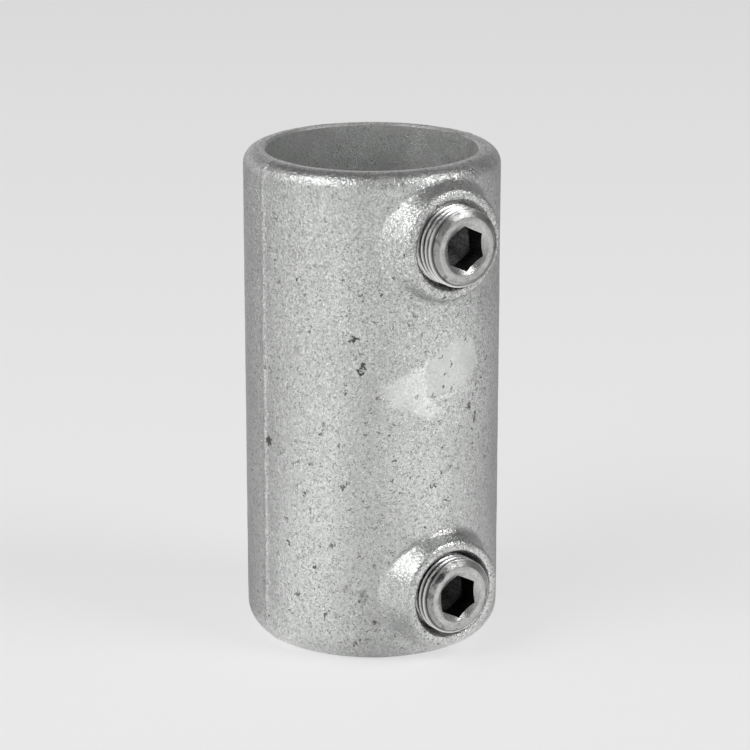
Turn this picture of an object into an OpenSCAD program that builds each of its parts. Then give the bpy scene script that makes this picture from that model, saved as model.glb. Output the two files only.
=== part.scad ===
// Straight tube connector: a cast sleeve that joins two tubes end to end,
// with one set screw through a round boss near each end.
// Millimetres. The origin is on the bore's axis at half the sleeve's length,
// +Z runs along the bore and both screws face -Y.

/* [Tube] */
// Outside diameter of the tubes that the sleeve joins
tube_d = 42.4; // [26:0.1:61]
// Gap between the tube and the bore, on each side
tube_clearance = 0.3; // [0.1:0.05:0.5]

/* [Sleeve] */
// Length of the sleeve, end face to end face
sleeve_l = 101.2; // [84:0.1:140]
// Thickness of the sleeve's wall
wall = 4.5; // [3.6:0.1:7]
// Rounding of the outer edge at the upper end
upper_round_r = 3.2; // [1:0.1:3.6]
// Radius of the wider rounding at the lower end
lower_round_r = 6; // [4:0.1:8]
// How far up the sleeve that rounding reaches
lower_round_h = 5; // [2:0.1:6]
// Width of the small bevel at each mouth of the bore
bore_bevel = 0.4; // [0.2:0.05:0.8]
// Height of the ridge that the mould's joint leaves down each side
ridge_h = 0.3; // [0.15:0.05:0.6]
// Width of that ridge at its foot
ridge_w = 1; // [0.6:0.1:2]

/* [Bosses] */
// Distance from each end face to the edge of its boss's flat top
boss_inset = 3.42; // [2.8:0.01:9]
// Height of each boss above the round of the sleeve
boss_rise = 3.5; // [2:0.1:5]
// Width of the ring of metal round the mouth of each screw hole
boss_ring = 1.8; // [1.4:0.1:4]
// Slope of the boss's flank away from the screw's axis, in degrees
boss_draft = 19; // [6:1:24]
// Rounding of the boss's upper edge
boss_round_r = 1.5; // [0.8:0.1:2]
// Radius of the fillet round the boss's foot
boss_foot_r = 2.3; // [1:0.1:2.5]

/* [Set screws] */
// Outside diameter of the screw thread (a 3/8 inch pipe thread)
thread_d = 16.66; // [13:0.01:20]
// Gap between the screw and its hole, on each side
thread_clearance = 0.05; // [0.02:0.01:0.15]
// Width of the bevel at the mouth of each screw hole
hole_bevel_w = 0.7; // [0.3:0.05:0.8]
// Depth of that bevel
hole_bevel_h = 1.5; // [0.4:0.1:2.5]
// Length of each screw, from its face to its point
screw_l = 9.8; // [8.1:0.1:13]
// How far the upper screw's point stays off the bore
upper_point_gap = 1.9; // [0.3:0.1:2.5]
// How far the lower screw's point stays off the bore
lower_point_gap = 0.4; // [0.3:0.1:2.5]
// Width of the bevel round the screw's face
face_bevel_w = 1.95; // [1:0.05:2.4]
// Slope of that bevel from the face, in degrees
face_bevel_angle = 33; // [20:1:50]

/* [Key sockets] */
// Key size, across the flats of the socket
key_af = 8; // [6:0.5:10]
// Depth of the socket's flats below the screw's face
socket_depth = 5; // [4:0.1:6]
// Width of the cone that leads the key in, outside the socket's corners
lead_in_w = 0.65; // [0.3:0.05:0.8]
// Slope of the lead-in cone and of the drill's end from the face, in degrees
cone_angle = 31; // [20:1:45]
// Turn of the upper socket from one corner straight up, in degrees
upper_socket_turn = 4; // [0:0.5:59.5]
// Turn of the lower socket from one corner straight up, in degrees
lower_socket_turn = 2.5; // [0:0.5:59.5]

/* [Screw points] */
// Diameter of the cup's rim, the ring that bites into the tube
cup_d = 9; // [6:0.1:11]
// Depth of the hollow inside the cup's rim
cup_depth = 1.2; // [0.6:0.1:1.6]
// Slope of the cone behind the cup's rim from the screw's axis, in degrees
point_angle = 55; // [45:1:70]

/* [Hidden] */
$fn = 96;
eps = 0.01;
// The fillets' facets: directions round a boss, and steps from wall to flank
foot_sides = 48;
foot_steps = 5;
foot_sink = 0.08;

bore_r = tube_d / 2 + tube_clearance;
body_r = bore_r + wall;
half_l = sleeve_l / 2;
// Each end's rounding as radius and height, kept off the bore's bevelled mouth
round_limit = wall - bore_bevel - 0.5;
upper_round = min(upper_round_r, round_limit) * [1, 1];
lower_round = [
    lower_round_r,
    min(lower_round_h, sqrt(pow(lower_round_r, 2) - pow(lower_round_r - round_limit, 2)))
];

thread_r = thread_d / 2;
hole_r = thread_r + thread_clearance;
mouth_r = hole_r + hole_bevel_w;

// The bosses' sizes are measured from the bore's axis, along the screw's
boss_top = body_r + boss_rise;
boss_top_r = mouth_r + boss_ring;
screw_inset = boss_top_r + boss_inset;
screw_z = half_l - screw_inset;
// A boss is rooted where its edge, carried on inwards, meets the bore
boss_root = sqrt(pow(bore_r, 2) - pow(boss_top_r, 2));

// Centre of the boss's rounding, and where the rounding meets the flank
arc_z = boss_top - boss_round_r;
arc_r = boss_top_r - boss_round_r * (1 / cos(boss_draft) - tan(boss_draft));
flank_r = arc_r + boss_round_r * cos(boss_draft);
flank_z = arc_z + boss_round_r * sin(boss_draft);

// Each screw is placed by its point, as it is when it grips a tube
upper_point = bore_r + upper_point_gap;
lower_point = bore_r + lower_point_gap;

corner_r = key_af / 2 / cos(30);
lead_in_r = corner_r + lead_in_w;
drill_r = key_af / 2;
face_r = thread_r - face_bevel_w;
face_bevel_h = face_bevel_w * tan(face_bevel_angle);
cup_r = cup_d / 2;
point_l = (thread_r - cup_r) / tan(point_angle);

cast_zinc = [0.66, 0.68, 0.67];
turned_steel = [0.76, 0.76, 0.75];

// Turns a screw's own frame, with +Z out of the boss, to face -Y at height z
module on_screw_axis(z) {
    translate([0, 0, z]) rotate([90, 0, 0]) children();
}

// A solid bar with the sleeve's length, rounded at both outer edges
module round_bar(radius) {
    upper_at = [radius, half_l] - upper_round;
    lower_at = [radius - lower_round[0], lower_round[1] - half_l];
    rotate_extrude() {
        polygon([
            [0, -half_l],
            [lower_at[0], -half_l],
            lower_at,
            [radius, lower_at[1]],
            [radius, upper_at[1]],
            upper_at,
            [upper_at[0], half_l],
            [0, half_l]
        ]);
        translate(upper_at) circle(r = upper_round[0]);
        intersection() {
            translate(lower_at) circle(r = lower_round[0]);
            translate([lower_at[0], -half_l]) square(lower_round);
        }
    }
}

// The thin ridge down one side where the mould halves met, round both edges
module mould_ridge() {
    root = body_r - lower_round[0] / 2;
    intersection() {
        round_bar(body_r + ridge_h);
        linear_extrude(sleeve_l, center = true)
            polygon([
                [root, -ridge_w / 2],
                [body_r, -ridge_w / 2],
                [body_r + ridge_h, 0],
                [body_r, ridge_w / 2],
                [root, ridge_w / 2]
            ]);
    }
}

// A round boss with sloping flank and rounded upper edge, on its own axis
module boss() {
    rotate_extrude() {
        polygon([
            [0, boss_root],
            [flank_at(boss_root), boss_root],
            [flank_r, flank_z],
            [arc_r, arc_z],
            [arc_r, boss_top],
            [0, boss_top]
        ]);
        intersection() {
            translate([arc_r, arc_z]) circle(r = boss_round_r);
            translate([arc_r - boss_round_r, arc_z]) square(2 * boss_round_r);
        }
    }
}

// Radius of the boss's flank at a distance from the bore's axis
function flank_at(z) = flank_r + (flank_z - z) * tan(boss_draft);

// Radius of the round bar at a distance from an end with a rounding of that size
function bar_r(d, size) =
    let (over = min(size[1], max(0, size[1] - d)))
    body_r - size[0] + sqrt(pow(size[0], 2) - pow(over, 2));

// The bar's height over the bore's axis, r out from the screw's axis towards turn
function bar_height(r, turn, size) =
    sqrt(pow(bar_r(screw_inset - r * sin(turn), size), 2) - pow(r * cos(turn), 2));

// Centre of a ball that touches the bar at r, as radius and height
function ball_at(r, turn, size) =
    let (
        above = bar_height(r + eps, turn, size),
        below = bar_height(r - eps, turn, size),
        rise = (above - below) / (2 * eps),
        length = sqrt(1 + pow(rise, 2))
    )
    [r - boss_foot_r * rise / length, (above + below) / 2 + boss_foot_r / length];

// Where that ball touches the bar once it touches the flank too, by halving
function foot_at(turn, size, low, high, turns = 14) =
    let (
        middle = (low + high) / 2,
        ball = ball_at(middle, turn, size),
        reach = flank_at(ball[1] - boss_foot_r * sin(boss_draft)) + boss_foot_r * cos(boss_draft)
    )
    turns == 0 ? middle
    : ball[0] < reach ? foot_at(turn, size, middle, high, turns - 1)
    : foot_at(turn, size, low, middle, turns - 1);

// How far out the fillet may reach towards turn: no further than the end face
function foot_limit(turn) =
    min(flank_r + 2 * boss_foot_r, (screw_inset - foot_sink) / max(sin(turn), eps));

// The fillet's outline towards turn: from the wall up an arc to the flank. Its
// ends are sunk a little, so that it cuts the surfaces and doesn't just touch them
function foot_outline(turn, size) =
    let (
        r = foot_at(turn, size, flank_r, foot_limit(turn)),
        wall_z = bar_height(r, turn, size),
        ball = ball_at(r, turn, size),
        from = atan2(wall_z - ball[1], r - ball[0]) + 360,
        to = 180 + boss_draft,
        arc = [for (k = [1 : foot_steps])
            let (a = from + (to - from) * k / foot_steps)
            ball + boss_foot_r * [cos(a), sin(a)]],
        end = arc[foot_steps - 1]
    )
    [
        [r, wall_z - foot_sink],
        each [for (k = [0 : foot_steps - 2]) arc[k]],
        end - [foot_sink, 0],
        end - [1, 0],
        [end[0] - 1, wall_z - 1]
    ];

// The fillet round a boss's foot, a ring of flat facets
module boss_foot(size) {
    outlines = [for (k = [0 : foot_sides - 1]) foot_outline(360 * k / foot_sides, size)];
    n = len(outlines[0]);
    polyhedron(
        points = [for (k = [0 : foot_sides - 1]) for (p = outlines[k])
            [p[0] * cos(360 * k / foot_sides), p[0] * sin(360 * k / foot_sides), p[1]]],
        faces = [for (k = [0 : foot_sides - 1]) for (i = [0 : n - 1])
            let (a = k * n, b = ((k + 1) % foot_sides) * n, j = (i + 1) % n)
            each [[a + i, b + j, b + i], [a + i, a + j, b + j]]]
    );
}

// The tube's way through, with a bevel at both ends
module bore() {
    cylinder(r = bore_r, h = sleeve_l + 2, center = true);
    for (side = [0, 1])
        mirror([0, 0, side])
            translate([0, 0, half_l - bore_bevel])
                cylinder(r1 = bore_r, r2 = bore_r + 2 * bore_bevel, h = 2 * bore_bevel);
}

// A screw's hole, from inside the bore out through the boss
module screw_hole() {
    cylinder(r = hole_r, h = boss_top + 1);
    slope = hole_bevel_w / hole_bevel_h;
    translate([0, 0, boss_top - hole_bevel_h])
        cylinder(r1 = hole_r, r2 = mouth_r + slope, h = hole_bevel_h + 1);
}

module sleeve() {
    color(cast_zinc) difference() {
        union() {
            round_bar(body_r);
            for (side = [0, 1]) mirror([side, 0, 0]) mould_ridge();
            intersection() {
                for (side = [0, 1]) mirror([0, 0, side]) on_screw_axis(screw_z) {
                    boss();
                    boss_foot(side == 0 ? upper_round : lower_round);
                }
                cylinder(r = boss_top + 1, h = sleeve_l, center = true);
            }
        }
        bore();
        for (z = [-screw_z, screw_z]) on_screw_axis(z) screw_hole();
    }
}

// The socket for the key: lead-in cone, six flats and the drill's end
module key_socket(turn) {
    lead_in_h = lead_in_r * tan(cone_angle);
    drill_end_h = drill_r * tan(cone_angle);
    floor_z = screw_l - socket_depth;
    translate([0, 0, floor_z]) rotate(90 + turn)
        cylinder(r = corner_r, h = socket_depth + 1, $fn = 6);
    translate([0, 0, screw_l - lead_in_h])
        cylinder(r1 = 0, r2 = 2 * lead_in_r, h = 2 * lead_in_h);
    translate([0, 0, floor_z - drill_end_h])
        cylinder(r1 = 0, r2 = drill_r, h = drill_end_h + eps);
}

// A set screw from its cup point at the origin to its face, thread left plain
module set_screw(turn) {
    difference() {
        rotate_extrude() polygon([
            [0, 0],
            [cup_r, 0],
            [thread_r, point_l],
            [thread_r, screw_l - face_bevel_h],
            [face_r, screw_l],
            [0, screw_l]
        ]);
        key_socket(turn);
        translate([0, 0, -1])
            cylinder(r1 = cup_r * (1 + 1 / cup_depth), r2 = 0, h = cup_depth + 1);
    }
}

module upper_set_screw() {
    color(turned_steel) on_screw_axis(screw_z)
        translate([0, 0, upper_point]) set_screw(upper_socket_turn);
}

module lower_set_screw() {
    color(turned_steel) on_screw_axis(-screw_z)
        translate([0, 0, lower_point]) set_screw(lower_socket_turn);
}

sleeve();
upper_set_screw();
lower_set_screw();
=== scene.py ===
# %% [markdown]
# A straight tube connector: one galvanised casting and two set screws.
# The imported CAD model is loaded first as a fixed frame, so that every piece made below goes where
# the CAD says. Its box is kept.

# %% The frame
import math

import bmesh
import bpy
import numpy as np
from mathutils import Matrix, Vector


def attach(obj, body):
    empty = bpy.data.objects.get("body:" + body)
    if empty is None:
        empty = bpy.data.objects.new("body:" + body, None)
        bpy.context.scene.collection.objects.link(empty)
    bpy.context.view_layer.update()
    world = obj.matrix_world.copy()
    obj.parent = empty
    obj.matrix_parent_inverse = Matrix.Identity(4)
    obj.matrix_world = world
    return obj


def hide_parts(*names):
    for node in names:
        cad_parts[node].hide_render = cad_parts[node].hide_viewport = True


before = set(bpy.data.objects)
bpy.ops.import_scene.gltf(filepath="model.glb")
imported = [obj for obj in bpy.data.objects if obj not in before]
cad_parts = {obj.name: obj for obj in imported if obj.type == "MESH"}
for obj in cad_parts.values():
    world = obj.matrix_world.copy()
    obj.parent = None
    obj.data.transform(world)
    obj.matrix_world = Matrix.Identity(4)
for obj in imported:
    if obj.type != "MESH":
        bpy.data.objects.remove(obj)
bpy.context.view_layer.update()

# %% [markdown]
# The sizes are the part's own, in millimetres, because a fitter thinks in millimetres. Blender
# works in metres, so each finished mesh is scaled by MM as it is made.

# %% Sizes
MM = 0.001

bore_r = 21.5
body_r = 26.0
half_l = 50.6
upper_round_r = 3.2
lower_round_r = 6.0
lower_round_h = 5.0
lower_edge_r = 1.0
bore_bevel = 0.4
ridge_h = 0.3
ridge_w = 1.9

screw_z = 36.3
boss_top = 29.5
boss_top_r = 10.88
boss_draft = math.radians(19)
boss_round_r = 1.5
boss_foot_r = 2.3
hole_r = 8.38
mouth_r = 9.08
hole_bevel_h = 1.5

thread_r = 8.33
thread_pitch = 1.337
thread_root_r = thread_r - 0.6403 * thread_pitch
thread_wear = 0.4
wear_from, wear_to = 3.8, 5.8
screw_l = 9.8
face_r = 6.38
bevel_slope = math.tan(math.radians(33))
socket_af = 8.0
socket_depth = 5.0
lead_in_r = 5.27
cone_slope = math.tan(math.radians(31))
cup_r = 4.5
cup_depth = 1.2
point_slope = math.tan(math.radians(55))

# Height of the axis, height of the point off the bore's axis, turn of the socket in degrees
screws = {
    "upper_set_screw": (screw_z, 23.4, 4.0),
    "lower_set_screw": (-screw_z, 21.9, 2.5),
}
print("thread root radius in mm:", round(thread_root_r, 3))

# %% [markdown]
# The camera stands where the photographer's did: a little above the fitting and 34 degrees round
# to its left, with a long lens, so that the far edges are hardly smaller than the near ones. It
# needs no shift, because it looks straight at the middle of the sleeve.

# %% Camera
view_turn = 0.59
view_tilt = 0.295
view_distance = 0.608
view_height = 0.1872
step_right = 0.00062

camera = bpy.data.objects.new("camera", bpy.data.cameras.new("camera"))
camera.data.sensor_width = 36
camera.data.lens = 148.2
camera.data.clip_start = 0.05
camera.location = (
    step_right * math.cos(view_turn) - view_distance * math.sin(view_turn),
    -step_right * math.sin(view_turn) - view_distance * math.cos(view_turn),
    view_height,
)
camera.rotation_euler = (math.pi / 2 - view_tilt, 0, -view_turn)
bpy.context.collection.objects.link(camera)
bpy.context.scene.camera = camera
bpy.context.scene.view_settings.view_transform = "Standard"
print("camera at", [round(v, 3) for v in camera.location])

# %% [markdown]
# Materials are written as sums. A Wire is one socket of a material's nodes, and + - * / on wires
# add the Math nodes that do the sum, so that a recipe reads like a recipe. Every other node comes
# from Finish.node(), which takes the node's type, its settings, and what goes into its sockets.

# %% A small language for materials
class Wire:
    """One socket of a material, which sums can be written with."""

    def __init__(self, finish, socket):
        self.finish, self.socket = finish, socket

    def sum(self, operation, *values):
        """A Math node on the given values. It is called on any wire of the same tree."""
        return self.finish.node("Math", {"operation": operation}, dict(enumerate(values)))

    def __add__(self, other):
        return self.sum("ADD", self, other)

    def __sub__(self, other):
        return self.sum("SUBTRACT", self, other)

    def __rsub__(self, other):
        return self.sum("SUBTRACT", other, self)

    def __mul__(self, other):
        return self.sum("MULTIPLY", self, other)

    def __truediv__(self, other):
        return self.sum("DIVIDE", self, other)

    def __rtruediv__(self, other):
        return self.sum("DIVIDE", other, self)

    __radd__ = __add__
    __rmul__ = __mul__

    def at_least(self, other):
        return self.sum("MAXIMUM", self, other)

    def at_most(self, other):
        return self.sum("MINIMUM", self, other)

    def rise(self, low, high):
        """0 below low, 1 above high and a smooth step between. It falls where low is above high."""
        settings = {"interpolation_type": "SMOOTHSTEP"}
        return self.finish.node("MapRange", settings, {0: self, 1: low, 2: high})


class Finish:
    """A material being made, on the piece's own coordinates in millimetres."""

    def __init__(self, name, tree=None):
        self.material = None
        if tree is None:
            self.material = bpy.data.materials.new(name)
            self.material.use_nodes = True
            tree = self.material.node_tree
            tree.nodes.clear()
        self.tree = tree

    def node(self, kind, settings=None, inputs=None, output=0, family="ShaderNode"):
        """Adds a node and returns the chosen output as a wire."""
        made = self.tree.nodes.new(family + kind)
        for name, value in (settings or {}).items():
            if name == "stops":
                ramp = made.color_ramp
                while len(ramp.elements) < len(value):
                    ramp.elements.new(1)
                for stop, (place, colour) in zip(ramp.elements, value):
                    stop.position, stop.color = place, (*colour, 1)
            else:
                setattr(made, name, value)
        for name, value in (inputs or {}).items():
            if isinstance(value, Wire):
                self.tree.links.new(value.socket, made.inputs[name])
            else:
                made.inputs[name].default_value = value
        return Wire(self, made.outputs[output])

    def vector(self, operation, *values, output=0):
        return self.node("VectorMath", {"operation": operation}, dict(enumerate(values)), output)

    def from_axis(self, x, y):
        """How far a place is from the axis that x and y are measured from."""
        return x.sum("SQRT", x * x + y * y)

    def places(self):
        """Where a point is on the piece, in millimetres."""
        here = self.node("TexCoord", output="Object")
        return self.vector("MULTIPLY", here, (1 / MM,) * 3)

    def parts(self, vector):
        """The x, y and z of a vector as three wires."""
        split = self.node("SeparateXYZ", inputs={0: vector})
        return [Wire(self, socket) for socket in split.socket.node.outputs]

    def noise(self, vector, grain, detail=2.0, rough=0.5, output=0):
        """Noise from 0 to 1 whose lumps are about as wide as grain, in millimetres."""
        inputs = {"Vector": vector, "Scale": 1 / grain, "Detail": detail, "Roughness": rough}
        return self.node("TexNoise", inputs=inputs, output=output)

    def curve(self, value, *stops):
        """A number that follows value along straight lines from stop to stop."""
        top = max(level for _, level in stops)
        colours = [(place, (level / top,) * 3) for place, level in stops]
        ramp = self.node("ValToRGB", {"stops": colours}, {0: value})
        return self.parts(ramp)[0] * top

    def grey(self, value, tint=(1, 1, 1)):
        """A colour from a number, with a tint."""
        colour = self.node("CombineColor", inputs={0: value, 1: value, 2: value})
        return self.vector("MULTIPLY", colour, tint)

    def done(self, shader):
        end = self.tree.nodes.new("ShaderNodeOutputMaterial")
        self.tree.links.new(shader.socket, end.inputs["Surface"])
        return self.material


# %% [markdown]
# The floor is a plain pale sheet under the fitting. Seen by the camera, or mirrored in the metal,
# it is partly its own pale light, so that it looks white without more light on the object, and
# partly an ordinary lit surface, so that it still shows the fitting's shadow. What the metal
# mirrors depends on the direction from the fitting: it is brightest to the left and right of the
# camera, dimmer straight below it, and grey behind. That gives the round body two soft bright
# bands with darker sides, as in the photo.

# %% Floor
def sheet_floor(size, height):
    mesh = bpy.data.meshes.new("floor")
    corners = [(x * size, y * size, height) for x, y in ((-1, -1), (1, -1), (1, 1), (-1, 1))]
    mesh.from_pydata(corners, [], [(0, 1, 2, 3)])
    made = bpy.data.objects.new("floor", mesh)
    bpy.context.collection.objects.link(made)
    return made


def pale_floor():
    paint = Finish("pale_floor")
    ways = paint.tree.nodes.new("ShaderNodeLightPath").outputs
    kinds = ("Is Camera Ray", "Is Glossy Ray", "Is Transmission Ray")
    camera, glossy, through = [Wire(paint, ways[kind]) for kind in kinds]
    here = paint.node("TexCoord", output="Object")
    near = paint.vector("LENGTH", here, output="Value").rise(0.095, 0.03)
    across, along, _ = paint.parts(paint.vector("NORMALIZE", here))
    ahead = across * -math.sin(view_turn) + along * -math.cos(view_turn)
    beside = across * math.cos(view_turn) + along * -math.sin(view_turn)

    # Brightness by the turn from the camera, where 1 is straight behind, to the left and right
    turn = beside.sum("ARCTAN2", beside, ahead) / math.pi
    left = paint.curve(
        0 - turn, (0.0, 0.65), (0.25, 1.43), (0.42, 1.0), (0.5, 0.55), (0.75, 0.36), (1.0, 0.35))
    right = paint.curve(turn, (0.0, 0.65), (0.25, 1.4), (0.5, 0.84), (0.75, 0.34), (1.0, 0.35))
    # Mirrored in the metal, the floor's glow is dimmer near the fitting: a painted shadow round its
    # foot
    table = (left + (right - left) * turn.sum("GREATER_THAN", turn, 0.0)) * (1 - near * 0.3)
    shown = camera * 0.62 + (glossy.at_least(through) - camera).at_least(0) * 0.8
    glow = camera * 0.97 + (1 - camera) * table
    lit = paint.node("BsdfDiffuse", inputs={"Color": (0.8, 0.8, 0.8, 1)})
    own = paint.node("Emission", inputs={"Color": paint.grey(glow), "Strength": 1.0})
    return paint.done(paint.node("MixShader", inputs={0: shown, 1: lit, 2: own}))


floor_gap = 0.0001
floor = sheet_floor(3, -half_l * MM - floor_gap)
floor.data.materials.append(pale_floor())
print("floor at z =", floor.data.vertices[0].co.z)

# %% [markdown]
# The light is a small studio's: two large soft lamps from the left, one from the right and a weak
# one behind, all well up, in a room with pale walls and a dark ceiling. Bare metal shows what is
# round it, so the dark ceiling is what makes the rim and the tops of the bosses dark grey, and
# the lamp far round to the left is what whitens one flank of each boss.

# %% Lamps and room
def soft_lamp(name, turn, tilt, distance, width, height, watts):
    """An area lamp aimed at the origin. turn is degrees round from the front, tilt degrees up."""
    data = bpy.data.lights.new(name, "AREA")
    data.shape, data.size, data.size_y, data.energy = "RECTANGLE", width, height, watts
    lamp = bpy.data.objects.new(name, data)
    turn, tilt = math.radians(turn), math.radians(tilt)
    away = Vector((math.sin(turn) * math.cos(tilt), -math.cos(turn) * math.cos(tilt), math.sin(tilt)))
    lamp.location = away * distance
    lamp.rotation_euler = away.to_track_quat("Z", "Y").to_euler()
    bpy.context.collection.objects.link(lamp)
    return lamp


soft_lamp("left_lamp", -84, 42, 1.1, 0.7, 0.55, 4.9)
soft_lamp("side_lamp", -112, 38, 1.1, 0.5, 0.8, 1.4)
soft_lamp("right_lamp", 34, 44, 1.1, 0.45, 0.5, 4.3)
soft_lamp("back_lamp", 130, 50, 1.1, 0.6, 0.6, 0.2)

world = bpy.data.worlds.new("room")
bpy.context.scene.world = world
world.use_nodes = True
world.node_tree.nodes.clear()
room = Finish("room", world.node_tree)

# Brightness of the walls by the sine of the angle up, in front of the fitting and behind it
rx, ry, rz = room.parts(room.node("TexCoord", output="Generated"))
ahead = rx * -math.sin(view_turn) + ry * -math.cos(view_turn)
beside = rx * math.cos(view_turn) + ry * -math.sin(view_turn)
front = room.curve(rz, (0.0, 0.64), (0.28, 0.64), (0.52, 0.02), (1.0, 0.01))
back = room.curve(rz, (0.0, 0.62), (0.3, 0.68), (0.42, 0.3), (0.54, 0.02), (1.0, 0.01))
back = back * (1.15 - beside.rise(-0.1, 0.7) * 0.85)
walls = room.grey(back + (front - back) * ahead.rise(-0.3, 0.3))
background = room.node("Background", inputs={"Color": walls, "Strength": 1.0})
world_out = world.node_tree.nodes.new("ShaderNodeOutputWorld")
world.node_tree.links.new(background.socket, world_out.inputs["Surface"])

# %% [markdown]
# The sleeve is malleable iron, cast in a two-part sand mould: a thick tube with a round boss near
# each end. Each boss grows out of the round wall through a soft fillet, which is what makes it
# look cast and not stuck on. A boolean union can't give that fillet, so the skin is laid out as a
# sheet of quads, like a label round a tin, with a square cut out round each boss. Rings of quads
# fill the square: down the fillet, up the flank, over the edge, across the top and into the hole.

# %% The plain skin
upper_flat = half_l - upper_round_r
lower_flat = half_l - lower_round_h
edge_turn = math.asin((lower_round_h - lower_edge_r) / (lower_round_r - lower_edge_r))
upper_end = upper_flat + upper_round_r * math.pi / 2
lower_end = lower_flat + lower_round_r * edge_turn + lower_edge_r * (math.pi / 2 - edge_turn)


def outline(t):
    """Radius and height of the skin at t, measured along its outline from half way up."""
    up = np.clip((t - upper_flat) / upper_round_r, 0, math.pi / 2)
    down = np.clip((-t - lower_flat) / lower_round_r, 0, edge_turn)
    past = -t - lower_flat - lower_round_r * edge_turn
    edge = edge_turn + np.clip(past / lower_edge_r, 0, math.pi / 2 - edge_turn)
    upper_r = body_r - upper_round_r * (1 - np.cos(up))
    upper_z = np.minimum(t, upper_flat) + upper_round_r * np.sin(up)
    lower_r = body_r - lower_round_r * (1 - np.cos(down))
    lower_r = lower_r - lower_edge_r * (math.cos(edge_turn) - np.cos(edge))
    lower_z = np.minimum(-t, lower_flat) + lower_round_r * np.sin(down)
    lower_z = lower_z + lower_edge_r * (np.sin(edge) - math.sin(edge_turn))
    return np.where(t > 0, upper_r, lower_r), np.where(t > 0, upper_z, -lower_z)


outline_t = np.linspace(-lower_end, upper_end, 40001)
outline_r, outline_z = outline(outline_t)


def skin_point(s, t):
    """The skin's point at s millimetres round it from the front, and t along its outline."""
    radius, z = outline(t)
    turn = s / body_r
    return np.stack([radius * np.sin(turn), -radius * np.cos(turn), z], -1)


def bar_radius(z):
    """Radius of the round bar at height z."""
    return np.interp(z, outline_z, outline_r)


def skin_place(x, z):
    """s and t of the skin's point that lies x to the right of the front, at height z."""
    return body_r * np.arcsin(x / bar_radius(z)), np.interp(z, outline_z, outline_t)


def body_height(r, turn, z0):
    """How far the skin is from the bore's axis, at radius r and angle turn round a screw's axis."""
    return np.sqrt(bar_radius(z0 + r * np.sin(turn)) ** 2 - (r * np.cos(turn)) ** 2)


near_end = half_l - 1
radii = [round(float(bar_radius(z)), 2) for z in (0, near_end, -near_end)]
print("radius half way up and 1 mm from each end:", radii)

# %% [markdown]
# The fillet is the path of a ball that rolls round the boss's foot and touches flank and wall at
# once. For each direction the touching point is found by halving an interval a fixed number of
# times, which is quick and can't run away.

# %% The bosses' rings
edge_r = boss_top_r - boss_round_r * (1 / math.cos(boss_draft) - math.tan(boss_draft))
flank_r = edge_r + boss_round_r * math.cos(boss_draft)
flank_h = boss_top - boss_round_r * (1 - math.sin(boss_draft))

# The ball touches the wall somewhere between these two radii
touch_low, touch_high = 11.0, 14.2
halvings = 30

# Half the step that the wall's slope is measured over
nudge = 1e-3

# Rings of quads up the fillet, up the flank and over the edge
foot_steps, flank_steps, edge_steps = 8, 3, 6


def rolling_ball(turn, z0, ball_r):
    """Centre, wall contact and flank contact of the ball, as radius and height for each turn."""
    def place(r):
        h = body_height(r, turn, z0)
        climb = body_height(r + nudge, turn, z0) - body_height(r - nudge, turn, z0)
        slope = climb / (2 * nudge)
        size = np.sqrt(1 + slope**2)
        centre_r, centre_h = r - ball_r * slope / size, h + ball_r / size
        flank_at = flank_r + (flank_h + ball_r * math.sin(boss_draft) - centre_h) * math.tan(boss_draft)
        return centre_r, centre_h, centre_r - flank_at - ball_r * math.cos(boss_draft), h

    low, high = np.full_like(turn, touch_low), np.full_like(turn, touch_high)
    for _ in range(halvings):
        middle = (low + high) / 2
        inside = place(middle)[2] < 0
        low, high = np.where(inside, middle, low), np.where(inside, high, middle)
    wall_r = (low + high) / 2
    centre_r, centre_h, _, wall_h = place(wall_r)
    flank = (centre_r - ball_r * math.cos(boss_draft), centre_h - ball_r * math.sin(boss_draft))
    return (centre_r, centre_h), (wall_r, wall_h), flank


def boss_rings(turn, z0):
    """Radius and height of each ring of a boss, from the wall inwards, and how rough it is."""
    (cr, ch), (wr, wh), (fr, fh) = rolling_ball(turn, z0, boss_foot_r)
    rings = []
    start, stop = np.arctan2(wh - ch, wr - cr), np.arctan2(fh - ch, fr - cr)
    stop = np.where(stop > 0, stop - 2 * math.pi, stop)
    for k in range(foot_steps + 1):
        a = start + (stop - start) * k / foot_steps
        rings.append((cr + boss_foot_r * np.cos(a), ch + boss_foot_r * np.sin(a), 1.0))
    for k in range(1, flank_steps + 1):
        share = k / flank_steps
        rings.append((fr + (flank_r - fr) * share, fh + (flank_h - fh) * share, 1.0))
    for k in range(1, edge_steps + 1):
        a = boss_draft + (math.pi / 2 - boss_draft) * k / edge_steps
        r, h = edge_r + boss_round_r * math.cos(a), boss_top - boss_round_r * (1 - math.sin(a))
        rings.append((r + 0 * turn, h + 0 * turn, 1.0))

    # The flat top, the mouth's soft rim, its bevel, and the start of the hole
    for r, h, rough in (
        (mouth_r + 0.45, boss_top, 1.0),
        (mouth_r + 0.16, boss_top - 0.02, 1.0),
        (mouth_r, boss_top - 0.12, 0.8),
        ((mouth_r + hole_r) / 2, boss_top - hole_bevel_h / 2, 0.4),
        (hole_r, boss_top - hole_bevel_h, 0.0),
        (hole_r, boss_top - 3.2, 0.0),
    ):
        rings.append((r + 0 * turn, h + 0 * turn, rough))
    return rings


# %% [markdown]
# The whole casting is one closed mesh: the skin, the two roundings, the flat end faces, the bore
# and both screw holes. The bore needs fewer quads than the skin, so each ring of the skin meets a
# ring of half as many there.

# %% The casting's mesh
# Half the width of the square round each boss, and of the one round each hole in the bore
block, bore_block = 15.2, 12

# Steps along the outer square's side, and rings of quads from it to the fillet
block_steps, wall_rings = 64, 10

# Radius of the ring that parts each end face in two
end_face_r = 22.35


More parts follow.
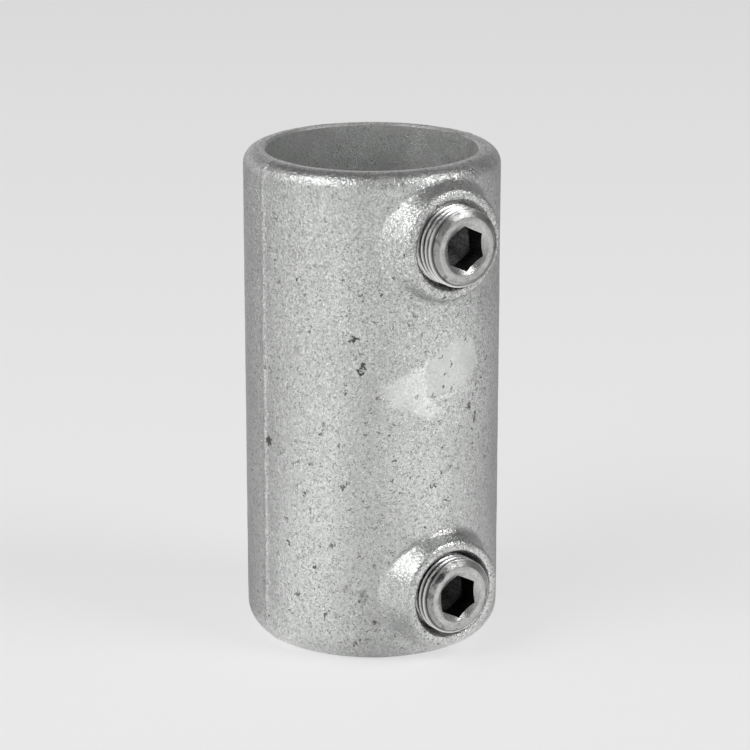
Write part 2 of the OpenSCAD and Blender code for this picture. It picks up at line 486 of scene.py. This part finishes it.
class Shell:
    """Points and faces collected piece by piece, with a roughness weight for each point."""

    def __init__(self):
        self.points, self.rough, self.faces = [], [], []
        self.count = 0

    def add(self, points, rough):
        points = np.asarray(points, float).reshape(-1, 3)
        self.points.append(points)
        self.rough.append(np.broadcast_to(np.asarray(rough, float), len(points)))
        self.count += len(points)
        return np.arange(self.count - len(points), self.count)

    def band(self, outer, inner):
        """Quads between two closed rings of as many points."""
        a, b = np.roll(outer, -1), np.roll(inner, -1)
        self.faces += np.stack([outer, a, b, inner], -1).tolist()

    def ring(self, last, points, rough, inward=True):
        """Adds a ring of points, joins it to the last one, if there is one, and returns it."""
        new = self.add(points, rough)
        if last is not None:
            self.band(*((last, new) if inward else (new, last)))
        return new

    def halve(self, outer, inner):
        """Joins a closed ring to one with half as many points."""
        n = len(inner)
        for k in range(n):
            a, b, c = outer[2 * k], outer[2 * k + 1], outer[(2 * k + 2) % (2 * n)]
            self.faces += [[a, b, inner[k]], [b, c, inner[(k + 1) % n], inner[k]]]

    def turn_over(self, start):
        """Turns every face from start on the other way round."""
        self.faces[start:] = [face[::-1] for face in self.faces[start:]]

    def grid(self, index, skip):
        """Quads of a sheet that closes on itself from side to side, but for the cells in skip."""
        high, wide = index.shape
        for i in range(high - 1):
            for j in range(wide):
                k = (j + 1) % wide
                if not any(i0 <= i < i1 and j0 <= j < j1 for i0, i1, j0, j1 in skip):
                    self.faces.append([index[i, j], index[i, k], index[i + 1, k], index[i + 1, j]])


def loop_round(i0, i1, j0, j1):
    """Row and column of each point round a square of a sheet, anticlockwise from low right."""
    right = [(i, j1) for i in range(i0, i1)]
    top = [(i1, j) for j in range(j1, j0, -1)]
    left = [(i, j0) for i in range(i1, i0, -1)]
    foot = [(i0, j) for j in range(j0, j1)]
    return np.array(right + top + left + foot)


def spread(start, stop, step):
    """Even places from start up to, but without, stop, about a step apart."""
    return list(np.linspace(start, stop, max(1, round(abs(stop - start) / step)), endpoint=False))


# Columns, in mm round the skin: the front squares, the ridge on each side, and even ones between.
# The bore takes every other column, so their number is made even.
ridge_at = body_r * math.pi / 2
ridge_steps = [-0.9, -0.6, -0.3, 0.0, 0.3, 0.6]
side = spread(block, ridge_at - 0.9, 0.6) + [ridge_at + v for v in ridge_steps]
side += spread(ridge_at + 0.9, body_r * math.pi, 0.64)
if len(side) % 2 == 0:
    side.insert(-1, (side[-1] + side[-2]) / 2)
columns = spread(-block, block, 2 * block / block_steps) + side
columns += [body_r * math.pi] + [-v for v in reversed(side[1:])]
columns = np.array(columns)
assert len(columns) % 2 == 0
first_column = int(np.argmin(np.abs(columns + block)))
last_column = first_column + block_steps

# Rows, in mm along the skin's outline: both squares, even rows between, and the roundings' ends
low_square = spread(screw_z - block, screw_z + block, 2 * block / block_steps)
middle = spread(-(screw_z - block), screw_z - block, 0.53)
rows = [-lower_end, -(lower_end + screw_z + block) / 2, -(screw_z + block)]
rows += [-v for v in reversed(low_square)][:-1] + middle + low_square
rows += [screw_z + block, (upper_end + screw_z + block) / 2, upper_end]
rows = np.array(rows)
print("columns", len(columns), "rows", len(rows))


def ridge(s, t):
    """Height of the mould's ridge: a soft bell, since the zinc fills its foot, and a little wavy."""
    wander = 0.12 * np.sin(t * 0.9) + 0.08 * np.sin(t * 2.3 + 1)
    height = ridge_h * (0.85 + 0.1 * np.sin(t * 1.7 + 2) + 0.05 * np.sin(t * 4.1))
    aside = np.clip((np.abs(s) - ridge_at - wander) / (ridge_w / 2), -1, 1)
    return height * (0.5 + 0.5 * np.cos(math.pi * aside))


def add_skin(shell):
    """The skin as a sheet, but for a square round each boss. Returns its points and the squares."""
    s, t = np.meshgrid(columns, rows)
    skin = skin_point(s, t)
    outward = skin[..., :2] / np.linalg.norm(skin[..., :2], axis=-1, keepdims=True)
    skin[..., :2] += outward * ridge(s, t)[..., None]
    squares = []
    for low in (-screw_z - block, screw_z - block):
        first_row = int(np.argmin(np.abs(rows - low)))
        squares.append((first_row, first_row + block_steps, first_column, last_column))
    index = shell.add(skin, 1.0).reshape(s.shape)
    shell.grid(index, squares)
    return index, squares


def add_boss(shell, z0, square, index):
    """Rings of quads from a square of the skin, over the boss and into its screw hole."""
    at = loop_round(*square)
    ring_s, ring_t = columns[at[:, 1]], rows[at[:, 0]]
    turn = np.arctan2(ring_t - z0, ring_s)
    last = index[at[:, 0], at[:, 1]]
    rings = boss_rings(turn, z0)
    wall_r, _, _ = rings[0]
    s1, t1 = skin_place(wall_r * np.cos(turn), z0 + wall_r * np.sin(turn))
    for k in range(1, wall_rings):
        share = 1 - (1 - k / wall_rings) ** 1.2
        points = skin_point(ring_s + (s1 - ring_s) * share, ring_t + (t1 - ring_t) * share)
        last = shell.ring(last, points, 1.0)
    for r, h, rough in rings:
        points = np.stack([r * np.cos(turn), -h, z0 + r * np.sin(turn)], -1)
        last = shell.ring(last, points, rough)
    return last, turn[::2], z0


def add_end_face(shell, sign, last):
    """Rings of quads across an end face and over the bevel at the bore's mouth."""
    turn = columns / body_r
    bevel = [(bore_r + bore_bevel, half_l), (bore_r, half_l - bore_bevel)]
    for radius, z in [(end_face_r, half_l)] + bevel:
        points = np.stack([radius * np.sin(turn), -radius * np.cos(turn), 0 * turn + sign * z], -1)
        last = shell.ring(last, points, 0.6, sign > 0)
    return sign, last


def add_bore(shell, hole_ends, mouths):
    """The bore, a sheet seen from inside, joined to both screw holes and both mouths."""
    near, far, last_row = screw_z - bore_block, screw_z + bore_block, half_l - 2
    hole_steps = block_steps // 2
    hole_rows = spread(near, far, 2 * bore_block / hole_steps)
    bore_rows = [-last_row, -far] + [-v for v in reversed(hole_rows)]
    bore_rows += spread(-near, near, 2.5)[1:] + hole_rows + [far, last_row]
    bore_rows = np.array(bore_rows)
    bore_turn, bore_z = np.meshgrid(columns[::2] / body_r, bore_rows)
    bore = np.stack([bore_r * np.sin(bore_turn), -bore_r * np.cos(bore_turn), bore_z], -1)
    index = shell.add(bore, 0.35).reshape(bore_z.shape)
    squares = []
    for low in (-far, near):
        first_row = int(np.argmin(np.abs(bore_rows - low)))
        squares.append((first_row, first_row + hole_steps, first_column // 2, last_column // 2))
    start = len(shell.faces)
    shell.grid(index, squares)
    for (ring, turn, z0), square in zip(hole_ends, squares):
        at = loop_round(*square)
        depth = np.sqrt(bore_r**2 - (hole_r * np.cos(turn)) ** 2)
        points = np.stack([hole_r * np.cos(turn), -depth, z0 + hole_r * np.sin(turn)], -1)
        foot = shell.ring(index[at[:, 0], at[:, 1]], points, 0.0)
        shell.turn_over(start)
        shell.halve(ring, foot)
        start = len(shell.faces)
    for sign, ring in mouths:
        start = len(shell.faces)
        shell.halve(ring, index[-1 if sign > 0 else 0])
        if sign < 0:
            shell.turn_over(start)


def casting():
    shell = Shell()
    index, squares = add_skin(shell)
    hole_ends = [add_boss(shell, z0, at, index) for z0, at in zip((-screw_z, screw_z), squares)]
    mouths = [add_end_face(shell, sign, index[row]) for sign, row in ((-1, 0), (1, -1))]
    add_bore(shell, hole_ends, mouths)
    return shell


shell = casting()
print("casting:", shell.count, "points,", len(shell.faces), "faces")


# %% Turning points and faces into a piece
def make_piece(name, points, faces):
    mesh = bpy.data.meshes.new(name)
    mesh.from_pydata((np.asarray(points) * MM).tolist(), [], [list(map(int, f)) for f in faces])
    made = bpy.data.objects.new(name, mesh)
    bpy.context.collection.objects.link(made)
    return made


def tell_closed(made):
    """Prints whether the mesh is closed and which way its faces point."""
    bm = bmesh.new()
    bm.from_mesh(made.data)
    open_edges = sum(1 for e in bm.edges if len(e.link_faces) != 2)
    triangles = sum(len(f.verts) - 2 for f in bm.faces)
    print(made.name, "volume in mm3: %.0f," % (bm.calc_volume(signed=True) / MM**3),
          "open edges", open_edges, "triangles", triangles)
    bm.free()


sleeve_skin = make_piece("sleeve_casting", np.concatenate(shell.points), shell.faces)
rough = sleeve_skin.data.attributes.new("rough", "FLOAT", "POINT")
rough.data.foreach_set("value", np.concatenate(shell.rough).astype(np.float32))
tell_closed(sleeve_skin)

# %% [markdown]
# Sand leaves a cast skin slightly lumpy, and the zinc bath adds a fine orange peel to it. That is
# a rule for every point, push it along its normal by some noise, so Geometry Nodes do it: the
# tree has a named input for each height and width, and the piece's own "rough" attribute keeps
# the tapped holes true.

# %% The cast skin's unevenness
class Field(Finish):
    """The same small language for a geometry tree."""

    def __init__(self, name, inputs):
        tree = bpy.data.node_groups.new(name, "GeometryNodeTree")
        super().__init__(name, tree)
        face = tree.interface
        face.new_socket("Geometry", in_out="INPUT", socket_type="NodeSocketGeometry")
        face.new_socket("Geometry", in_out="OUTPUT", socket_type="NodeSocketGeometry")
        self.sockets = {}
        for label, value in inputs.items():
            kind = "NodeSocketMaterial" if label == "Material" else "NodeSocketFloat"
            socket = face.new_socket(label, in_out="INPUT", socket_type=kind)
            self.sockets[label] = (socket.identifier, value)
        self.entry = tree.nodes.new("NodeGroupInput").outputs

    def given(self, label):
        return Wire(self, self.entry[label])

    def geo(self, kind, settings=None, inputs=None, output=0):
        """Adds a geometry node and returns the chosen output as a wire."""
        return self.node(kind, settings, inputs, output, "GeometryNode")

    def run(self, made, result, name):
        """Ends the tree with a material, runs it on the piece and returns a plain mesh piece."""
        real = self.geo("RealizeInstances", inputs={0: result})
        real = self.geo("SetMaterial", inputs={"Geometry": real, "Material": self.given("Material")})
        out = self.tree.nodes.new("NodeGroupOutput")
        self.tree.links.new(real.socket, out.inputs[0])
        maker = made.modifiers.new("maker", "NODES")
        maker.node_group = self.tree
        for identifier, value in self.sockets.values():
            maker[identifier] = value
        bpy.context.view_layer.update()
        evaluated = made.evaluated_get(bpy.context.evaluated_depsgraph_get())
        mesh = bpy.data.meshes.new_from_object(evaluated)
        made.modifiers.remove(maker)
        bpy.data.objects.remove(made)
        piece = bpy.data.objects.new(name, mesh)
        bpy.context.collection.objects.link(piece)
        return piece


zinc_finish = Finish("galvanised_casting")


def uneven_skin(made, name):
    rule = Field("uneven_cast_skin", {
        "Material": zinc_finish.material,
        "Lump height": 0.16 * MM,
        "Lump width": 7.0,
        "Peel height": 0.05 * MM,
        "Peel width": 1.3,
    })
    here = rule.vector("MULTIPLY", rule.geo("InputPosition"), (1 / MM,) * 3)
    lumps = rule.noise(here, rule.given("Lump width"), 1.0)
    peel = rule.noise(here, rule.given("Peel width"), 1.5)
    weight = rule.geo("InputNamedAttribute", {"data_type": "FLOAT"}, {"Name": "rough"})
    push = (lumps - 0.58) * rule.given("Lump height") + (peel - 0.58) * rule.given("Peel height")
    normal = rule.geo("InputNormal")
    shift = rule.node("VectorMath", {"operation": "SCALE"}, {0: normal, "Scale": push * weight})
    moved = rule.geo("SetPosition", inputs={"Geometry": rule.given("Geometry"), "Offset": shift})
    return rule.run(made, moved, name)


sleeve_piece = uneven_skin(sleeve_skin, "sleeve_casting")
tell_closed(sleeve_piece)

# %% [markdown]
# The set screws have a pipe thread: a rounded V that climbs one pitch each turn. A thread follows
# a rule too, so a second tree lays a sheet of points round the screw, slanted by one pitch so that
# its lines run along the thread's crest, and gives each line its radius. The last turns before the
# face are worn a little smaller. Where the bevel or the point has cut the thread away, the smaller
# radius wins. Loose ends fold onto the two end rings and are merged there.

# %% The thread
around = 192
lines_per_pitch = 12


def thread_sheet(name, turn):
    """The threaded part of a screw, on its own axis with its point at the origin."""
    low = (thread_root_r - cup_r) / point_slope
    high = screw_l - (thread_root_r - thread_wear - face_r) * bevel_slope
    pitches = math.ceil((high - low) / thread_pitch) + 3
    lines = pitches * lines_per_pitch + 1
    rule = Field("pipe_thread", {
        "Material": None,
        "Crest radius": thread_r * MM,
        "Root radius": thread_root_r * MM,
        "Pitch": thread_pitch * MM,
        "Low end": low * MM,
        "High end": high * MM,
        "Length": screw_l * MM,
        "Face radius": face_r * MM,
        "Cup radius": cup_r * MM,
        "Wear": thread_wear * MM,
        "Start turn": math.radians(turn),
    })
    sheet = rule.geo("MeshGrid", inputs={"Vertices X": around + 1, "Vertices Y": lines})
    number = rule.geo("InputIndex")
    column = number.sum("FLOOR", (number + 0.5) / lines)
    line = number - column * lines
    angle = column * (2 * math.pi / around) + rule.given("Start turn")
    climbed = line * (1 / lines_per_pitch)
    rise = rule.given("Low end") + (climbed + column * (1 / around) - 1.5) * rule.given("Pitch")
    place = rise.at_least(rule.given("Low end")).at_most(rule.given("High end"))
    phase = climbed.sum("FRACT", climbed)
    from_crest = phase.sum("ABSOLUTE", phase - 0.5) * 2
    depth = from_crest.rise(0.1, 0.9) * (rule.given("Crest radius") - rule.given("Root radius"))
    worn = place.rise(wear_from * MM, wear_to * MM) * rule.given("Wear")
    thread = rule.given("Crest radius") - depth - worn
    bevel = rule.given("Face radius") + (rule.given("Length") - place) / bevel_slope
    point = rule.given("Cup radius") + place * point_slope
    radius = thread.at_most(bevel).at_most(point)
    x, y = radius * angle.sum("COSINE", angle), radius * angle.sum("SINE", angle)
    goal = rule.node("CombineXYZ", inputs={0: x, 1: y, 2: place})
    moved = rule.geo("SetPosition", inputs={"Geometry": sheet, "Position": goal})
    merged = rule.geo("MergeByDistance", inputs={"Geometry": moved, "Distance": 0.002 * MM})
    base = make_piece(name + "_base", [(0, 0, 0)], [])
    return rule.run(base, merged, name), low, high


# %% [markdown]
# The rest of the screw is turned, drilled and broached: a bevelled face, a cone that leads the key
# in, a hexagon with the drill's cone at its end, and a cup point, whose rim bites when the screw
# is turned in. Rings of as many points as the thread has follow that outline, so that the
# hexagon's corners fall on points and stay sharp.

# %% The screw's ends
def hexagon_r(turn):
    """Radius of the key's hexagon at an angle from one of its corners."""
    return socket_af / 2 / np.cos((turn % (math.pi / 3)) - math.pi / 6)


def screw_piece(name, z0, point, socket_turn):
    thread, low, high = thread_sheet(name, socket_turn)
    angle = 2 * math.pi * np.arange(around) / around + math.radians(socket_turn)
    from_corner = angle - math.radians(90 + socket_turn)
    hexagon = hexagon_r(from_corner)
    level = 0 * angle

    def bevel_z(r):
        return screw_l - (r - face_r) * bevel_slope

    # Radius and height of each ring, from the thread across the face and down into the socket
    face_rings = [(thread_root_r - thread_wear, high)]
    face_rings += [(r, bevel_z(r)) for r in (6.9, 6.65, face_r + 0.12)]
    face_rings += [(face_r, screw_l - 0.025)]
    face_rings += [(r, screw_l) for r in (face_r - 0.12, 5.8, lead_in_r + 0.08)]
    face_rings += [(lead_in_r, screw_l - 0.02), (lead_in_r - 0.08, screw_l - 0.08 * cone_slope)]
    cone_z = screw_l - (lead_in_r - hexagon) * cone_slope
    deep = screw_l - socket_depth
    tip = deep - socket_af / 2 * cone_slope
    face_rings += [(hexagon, z) for z in (cone_z, (cone_z + deep) / 2, deep)]
    face_rings += [(3.9, deep - 0.1 * cone_slope)]
    face_rings += [(r, tip + r * cone_slope) for r in (2.6, 1.3, 0.3)]

    # And from the thread's other end round the point's rim and into its cup
    foot_rings = [(thread_root_r, low), (6.0, (6.0 - cup_r) / point_slope), (cup_r + 0.1, 0.07)]
    foot_rings += [(cup_r, 0.0), (cup_r - 0.1, 0.03)]
    foot_rings += [(r, cup_depth * (1 - r / cup_r)) for r in (2.4, 0.3)]

    part = Shell()
    both_ends = ((face_rings, (0, 0, tip), True), (foot_rings, (0, 0, cup_depth), False))
    for rings, end, outward in both_ends:
        last = None
        for r, z in rings:
            points = np.stack([r * np.cos(angle), r * np.sin(angle), z + level], -1)
            last = part.ring(last, points, 0.0, outward)
        centre = part.add([end], 0.0)[0]
        for k in range(around):
            pair = [last[k], last[(k + 1) % around]]
            part.faces.append([*(pair if outward else pair[::-1]), centre])

    ends = make_piece(name + "_ends", np.concatenate(part.points), part.faces)
    bm = bmesh.new()
    bm.from_mesh(thread.data)
    bm.from_mesh(ends.data)
    bmesh.ops.remove_doubles(bm, verts=bm.verts, dist=0.003 * MM)
    bmesh.ops.recalc_face_normals(bm, faces=bm.faces)
    for v in bm.verts:
        x, y, z = v.co
        v.co = (x, -(z + point * MM), y + z0 * MM)
    bm.to_mesh(thread.data)
    bm.free()
    bpy.data.objects.remove(ends)
    return thread


screw_pieces = {}
for name, (z0, point, socket_turn) in screws.items():
    screw_pieces[name] = screw_piece(name + "_turned", z0, point, socket_turn)
    tell_closed(screw_pieces[name])

# %% [markdown]
# Cast and turned surfaces are smooth to the eye except where they turn sharply, so faces are shaded
# smooth and edges over a given angle are kept sharp.

# %% Smooth faces and sharp edges
for made, angle in [(sleeve_piece, 42), *((p, 28) for p in screw_pieces.values())]:
    made.data.shade_smooth()
    made.data.set_sharp_from_angle(angle=math.radians(angle))

# %% [markdown]
# Most of the zinc coat looks alike everywhere and is made of noise. A few marks are seen at once,
# so they have places of their own: the deep pits, where the coat bridged a hole in the iron, and
# one smooth run between the screws, where the zinc is thick. A pit is a soft oval. The run and its
# spill are outlines of a few corners, and noise makes their edges wavy.

# %% Pits and the smooth run
# Each pit: degrees round from the front, height, half width across, half width up, and darkness
pits = [
    (-41.6, 17.5, 1.1, 0.65, 1.0), (-38.9, 14.6, 0.6, 0.35, 0.6), (-37.4, 12.3, 0.7, 1.0, 1.0),
    (-36.4, 11.6, 0.45, 0.5, 1.0), (-38.7, 10.9, 0.95, 0.55, 1.0), (-86.8, -6.7, 0.9, 1.3, 1.0),
    (-34.6, 2.7, 0.22, 0.8, 0.8), (-36.4, 0.4, 0.5, 0.3, 0.6), (-24.5, -0.5, 0.5, 0.25, 0.5),
    (14.7, 1.2, 0.6, 1.2, 0.9), (19.2, -1.6, 0.8, 1.1, 0.8), (18.6, 15.2, 0.35, 0.5, 0.4),
    (11.6, 15.5, 0.22, 0.25, 1.0), (-8.9, 5.3, 0.2, 0.22, 0.8), (-6.9, -3.0, 0.5, 0.3, 0.5),
    (-69.1, -14.3, 0.5, 0.6, 0.5), (-44.0, -17.7, 0.5, 0.4, 0.7), (-35.6, -17.2, 0.6, 0.4, 0.6),
    (-17.5, -14.7, 0.4, 0.5, 0.5), (-61.8, -9.3, 0.6, 0.5, 0.45), (-57.1, 24.9, 0.3, 0.35, 0.7),
    (-43.4, 23.7, 0.35, 0.35, 0.6), (-57.2, -17.9, 0.22, 0.25, 0.9), (-69.6, -37.8, 0.6, 0.5, 0.6),
    (-97.7, -45.5, 0.5, 0.4, 0.8), (-32.5, -41.9, 0.8, 0.6, 0.7), (-17.4, -23.9, 0.35, 0.3, 0.9),
    (-45.7, -35.0, 0.8, 0.7, 0.35), (-49.7, -41.0, 0.8, 0.6, 0.3), (-54.9, -33.1, 0.5, 0.35, 0.5),
    (-28.4, -21.9, 0.5, 0.4, 0.5), (-41.0, -23.4, 0.5, 0.5, 0.35), (-37.2, -36.3, 1.0, 2.2, 0.3),
    (140.0, 20.0, 0.6, 0.5, 0.8), (165.0, -12.0, 0.5, 0.7, 0.8), (110.0, -30.0, 0.7, 0.5, 0.7),
    (-150.0, 5.0, 0.5, 0.6, 0.8), (-130.0, 33.0, 0.5, 0.4, 0.7), (70.0, 12.0, 0.5, 0.6, 0.7),
    (95.0, 38.0, 0.5, 0.4, 0.8), (178.0, 36.0, 0.4, 0.5, 0.7), (-165.0, -35.0, 0.6, 0.5, 0.8),
]

# Corners of the smooth run and of its spill, in mm round the skin and up it, clockwise
smooth_run = [(-4.5, 11.5), (1.0, 15.6), (7.5, 15.4), (9.2, 10.0), (5.5, 5.6), (-3.8, 4.8)]
upper_spill = [(-13.7, 8.1), (-4.7, 11.5), (-3.2, 3.6), (-11.4, 3.0)]
lower_spill = [(-12.1, 4.7), (-4.0, 5.2), (0.1, 1.3), (-3.8, 0.2), (-8.7, 2.4)]


def depth_inside(s, z, corners):
    """How far a place is inside a convex outline. It is negative outside."""
    depth = s * 0 + 100
    for (s0, z0), (s1, z1) in zip(corners, corners[1:] + corners[:1]):
        across, up = s1 - s0, z1 - z0
        length = math.hypot(across, up)
        side = s * (up / length) - z * (across / length) - (s0 * up - z0 * across) / length
        depth = depth.at_most(side)
    return depth


# %% [markdown]
# Hot-dip galvanising is a coat of zinc that froze in a fine, uneven crust. The finish is a rough
# bright metal. Its greys drift in clouds, and it is peppered with fine dark grains, of which the
# smooth run has hardly any. Grain and pits also go to the bump, because they are really there.

# %% Galvanised casting
def galvanise(paint):
    here = paint.places()
    x, y, z = paint.parts(here)
    warp = paint.vector("SUBTRACT", paint.noise(here, 0.9, 2.0, output=1), (0.5,) * 3)
    bent = paint.vector("ADD", here, paint.vector("MULTIPLY", warp, (2.6,) * 3))

    # Clouds of lighter and darker grey, from wide ones down to single grains of zinc
    wide = paint.noise(paint.vector("MULTIPLY", here, (1.0, 1.0, 0.5)), 9, 3.0, 0.55)
    cloud = paint.noise(here, 3.2, 3.0, 0.6)
    coarse = paint.noise(here, 0.62, 2.0, 0.6)
    fine = paint.noise(here, 0.3, 2.0, 0.6)

    # How far a point is from the nearer screw's axis: bosses and rim shine more, and the holes' mouths
    # get painted shade on their left side, towards the sleeve's middle
    up = z.sum("ABSOLUTE", z) - screw_z
    out = paint.from_axis(x, up)
    front = (0 - y).rise(10, 16)
    lip = out.rise(14.5, 10.5) * front
    painted_mouth_shade = (out + (coarse - 0.5) * 1.2).rise(9.15, 8.8) * front * (x + up).rise(12, -2)
    inner = paint.from_axis(x, y).rise(22.6, 22.0)
    top = z.rise(43.5, 47.5) * (1 - inner)

    # The thick smooth run of zinc between the screws, on the right of the front, and its spill
    s = x.sum("ARCTAN2", x, 0 - y) * body_r + (cloud - 0.5) * 1.6 + (coarse - 0.5) * 0.8
    within = depth_inside(s, z, smooth_run)
    run = within.rise(-0.4, 0.6)
    run_edge = within.rise(-1.5, -0.2) * (1 - run) * (s + z).rise(14, 9)
    spilt = depth_inside(s, z, upper_spill).at_least(depth_inside(s, z, lower_spill))
    spill = spilt.rise(-0.8, 1.2) * (1 - run)

    # Pepper: dark grains, denser in some clouds than in others, and few on the smooth run
    dense = (wide - 0.45) * 0.14 + (cloud - 0.5) * 0.16
    dark_grain = paint.noise(bent, 0.42, 2.0, 0.6)
    bare = (1 - run * 0.8) * (1 - spill * 0.6)
    pepper = (dark_grain + dense + top * 0.02).rise(0.555, 0.63) * bare
    blot = (paint.noise(here, 1.6, 3.0, 0.65) + dense * 1.2).rise(0.63, 0.74) * bare
    spots = paint.node("TexVoronoi", {}, {"Vector": bent, "Scale": 1 / 2.6}, output="Distance")
    speck = (spots + (coarse - 0.5) * 0.2).rise(0.17, 0.1) * (cloud + wide).rise(0.92, 1.06)
    glint = (coarse * 0.5 + fine * 0.5).rise(0.56, 0.66)

    hollow = speck * 0.8
    for turn, up_at, across, high, dark in pits:
        turn = math.radians(turn)
        at = (body_r * math.sin(turn), -body_r * math.cos(turn), up_at)
        gap = paint.vector("SUBTRACT", bent, at)
        gap = paint.vector("MULTIPLY", gap, (1 / across, 1 / across, 1 / high))
        hollow = hollow.at_least(paint.vector("LENGTH", gap, output="Value").rise(1.15, 0.6) * dark)

    # How strong the grain is, then the grey, and then how rough the surface is
    grain = (1 - run * 0.65) * (1 - spill * 0.4) * (1 - inner * 0.75)
    grain = grain * (1 + lip * 0.15 - top * 0.3) * (0.75 + z.rise(-15, 35) * 0.5)
    tone = 0.68 + (wide - 0.5) * 0.38 + (cloud - 0.5) * 0.25
    tone = tone + ((coarse - 0.5) * 0.6 + (fine - 0.5) * 0.7) * grain

    # Beside the run the zinc is paler, the holes' mouths get a painted highlight on their far side, and
    # the zinc is a little darker towards the bottom
    clear = s.rise(-3, 4) * s.rise(26, 18) * z.rise(-8, 1) * z.rise(24, 16)
    tone = tone + run_edge * 0.12 + spill * 0.13 - run * 0.03 + clear * 0.07 + glint * grain * 0.08
    painted_mouth_highlight = (x + up).rise(4, 10) * out.rise(9.2, 9.0) * front
    tone = tone - z.rise(-20, -50) * 0.03 + painted_mouth_highlight * 0.25
    # Pepper, blots and pits darken the zinc, and the holes' mouths get their painted shade
    tone = tone * (1 - pepper * 0.48) * (1 - blot * 0.2) * (1 - hollow * 0.8) * (1 - painted_mouth_shade * 0.7)
    colour = paint.grey(tone.at_most(0.95).at_least(0.02), (0.985, 1.0, 0.985))
    warm = paint.node("CombineXYZ", inputs={0: 1.0, 1: 1.0, 2: 1 - (blot + hollow).at_most(1) * 0.07})
    colour = paint.vector("MULTIPLY", colour, warm)
    rough = 0.32 + (cloud - 0.5) * 0.2 - glint * 0.1 - lip.at_least(top * 0.3) * 0.06
    rough = rough + pepper * 0.15 + hollow * 0.3 + painted_mouth_shade * 0.3 + inner * 0.1

    relief = (fine * 0.6 + coarse * 1.0) * grain + cloud * 0.6
    relief = relief - pepper * 0.15 - hollow * 1.3 + run_edge * 0.35
    bump = paint.node("Bump", inputs={"Strength": 1.0, "Distance": 0.00015, "Height": relief})
    inputs = {"Base Color": colour, "Metallic": 0.85, "Normal": bump}
    inputs["Roughness"] = rough.at_least(0.22).at_most(0.9)
    return paint.done(paint.node("BsdfPrincipled", inputs=inputs))


galvanise(zinc_finish)
print("galvanised casting:", len(zinc_finish.tree.nodes), "nodes")

# %% [markdown]
# The screws are turned steel with a thin bright plating. Turning leaves fine rings, so the bump is
# stretched round the axis, and broaching leaves marks along the socket's walls. The thread's crests
# get a painted highlight and its root painted shade. The key's socket is nearly black: dark oil
# and painted shade.

# %% Turned steel
def turned_steel(name, z0, point, nick_and_socket_shade):
    paint = Finish(name)
    here = paint.places()
    x, y, z = paint.parts(here)
    up = z - z0
    out = paint.from_axis(x, up)
    turn = up.sum("ARCTAN2", up, x)
    height = (0 - y) - point
    round_and_up = paint.node("CombineXYZ", inputs={0: out, 1: turn * 0.6, 2: height})
    rings = paint.noise(round_and_up, 0.16, 3.0, 0.6)
    streaks = paint.noise(paint.vector("MULTIPLY", round_and_up, (1.0, 3.5, 1.0)), 0.9, 2.0, 0.6)
    smudge = paint.noise(here, 1.5, 3.0, 0.65)
    nicks = paint.noise(here, 0.5, 2.0, 0.6).rise(0.64, 0.72)
    drawn_out = paint.node("CombineXYZ", inputs={0: x, 1: up, 2: height * 0.15})
    marks = paint.noise(drawn_out, 0.35, 2.0, 0.6)

    # Where the thread's root, the bevel round the face and the key's socket are
    root = out.rise(7.78, 7.2) * out.rise(6.8, 7.0) * height.rise(screw_l - 0.5, screw_l - 0.9)
    bevel = out.rise(6.3, 6.5) * out.rise(8.0, 7.8) * height.rise(screw_l - 1.3, screw_l - 1.05)
    cone = screw_l - (lead_in_r - out) * cone_slope
    inside = out.rise(4.76, 4.68) * (cone - height).rise(0.03, 0.15)
    patch = (smudge + (streaks - 0.5) * 0.5).rise(0.5, 0.62) * bevel
    off = paint.node("CombineXYZ", inputs={0: (turn - 2.33) * 4.0, 1: (out - 6.85) * 1.6, 2: 0.0})
    ragged = paint.vector("LENGTH", off, output="Value") + (smudge + streaks - 1) * 1.8
    nick = ragged.rise(1.3, 0.3) * nick_and_socket_shade
    painted_crest_highlight = out.rise(7.45, 7.8)

    # Painted highlight on the crests, painted shade in the root, and painted shade over the socket's
    # dark oil
    tone = 0.45 + painted_crest_highlight * 0.35 + (smudge - 0.5) * 0.3 + (streaks - 0.5) * 0.4
    tone = tone * (1 - root * 0.7) * (1 - nicks * 0.3) * (1 - patch * 0.5) * (1 - nick * 0.75)
    tone = tone * (1 - inside * (0.78 + nick_and_socket_shade * 0.14)) * (1 + inside * (marks - 0.5) * 3.0)
    colour = paint.grey(tone.at_least(0.01), (1.0, 0.995, 0.985))
    rough = 0.27 + (smudge - 0.5) * 0.2 + bevel * 0.06 + inside * 0.25
    rough = rough + root * 0.15 + nicks * 0.1 + patch * 0.1
    relief = rings * 0.6 + smudge * 0.6 + streaks * 0.4 - nicks * 0.5 - nick * 2.0
    bump = paint.node("Bump", inputs={"Strength": 0.6, "Distance": 0.00012, "Height": relief})
    inputs = {"Base Color": colour, "Metallic": 1.0, "Roughness": rough.at_least(0.15), "Normal": bump}
    return paint.done(paint.node("BsdfPrincipled", inputs=inputs))


for name, (z0, point, _) in screws.items():
    made = screw_pieces[name]
    made.data.materials.clear()
    end = name.split("_")[0]
    made.data.materials.append(turned_steel("turned_steel_" + end, z0, point, float(end == "lower")))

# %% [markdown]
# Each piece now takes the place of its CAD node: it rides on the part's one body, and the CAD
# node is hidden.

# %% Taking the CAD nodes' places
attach(sleeve_piece, "root")
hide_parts("sleeve")
for name, made in screw_pieces.items():
    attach(made, "root")
    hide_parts(name)
